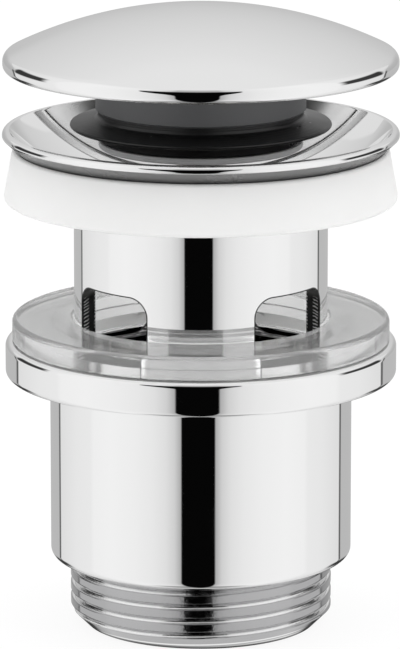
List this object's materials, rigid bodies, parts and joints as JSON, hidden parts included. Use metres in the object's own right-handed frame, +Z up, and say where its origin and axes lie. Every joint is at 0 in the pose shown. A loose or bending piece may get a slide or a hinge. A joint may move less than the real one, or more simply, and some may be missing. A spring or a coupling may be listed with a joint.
{
  "type": "pop up basin waste",
  "caption": "Push-open basin waste: domed sprung plug on a click cartridge, dished flange with a slotted tube, gaskets, and a screwed lower body with a threaded outlet.",
  "frame": {"origin": "middle of the outlet's lower end, at the lowest point of the part", "axes": "+Z up along the tube towards the cap, -Y towards the front, +X to the right seen from the front"},
  "size_m": [0.063, 0.063, 0.0998],
  "materials": {
    "chrome": "polished chrome plate on brass",
    "clear_gasket": "clear soft vinyl, slightly cloudy",
    "white_gasket": "matte white soft moulding",
    "nickel": "satin nickel plate on turned brass",
    "brass": "turned bare brass",
    "fibre": "pressed red fibre",
    "seal_rubber": "moulded black rubber",
    "spring_steel": "bright drawn stainless steel",
    "acetal": "machined natural acetal",
    "light_grey_plastic": "satin light grey moulding",
    "grey_plastic": "satin dark grey moulding"
  },
  "bodies": {
    "body": {"waste_body": "chrome"},
    "gasket": {"lower_gasket": "clear_gasket"},
    "flange": {"waste_flange": "chrome", "flange_gasket": "white_gasket", "spider": "nickel", "cartridge_barrel": "nickel", "barrel_washer": "fibre", "barrel_nut": "nickel", "gland_nut": "nickel", "stem_o_ring": "seal_rubber", "drum_post": "brass", "retaining_ring": "spring_steel", "spring_washer": "spring_steel", "return_spring": "spring_steel"},
    "plug": {"plunger": "nickel", "follower_pin": "spring_steel", "seal_retainer": "light_grey_plastic", "plug_seal": "seal_rubber", "plug_carrier": "grey_plastic", "carrier_nut": "brass", "cap_disc": "chrome", "plug_cap": "chrome"},
    "drum": {"index_drum": "acetal"}
  },
  "joints": [
    {"name": "clamp_turn", "type": "hinge", "parent": "body", "child": "gasket", "pos_m": [0, 0, 0.0482], "axis": [0, 0, -1], "range_deg": [-720, 1800]},
    {"name": "clamp_travel", "type": "slide", "parent": "gasket", "child": "flange", "axis": [0, 0, -1], "range_m": [-0.003, 0.0075]},
    {"name": "plug_push", "type": "slide", "parent": "flange", "child": "plug", "axis": [0, 0, 1], "range_m": [-0.0088, 0], "stiffness_N_per_m": 600, "springref_m": 0.01, "deforming": ["return_spring"]},
    {"name": "index_turn", "type": "hinge", "parent": "flange", "child": "drum", "pos_m": [0, 0, 0.041], "axis": [0, 0, 1], "range_deg": [-48, 0]}
  ],
  "couplings": [
    {"joint": "clamp_turn", "follows": "clamp_travel", "rad_per_m": 4188.8},
    {"joint": "index_turn", "follows": "plug_push", "rad_per_m": 95.2}
  ]
}
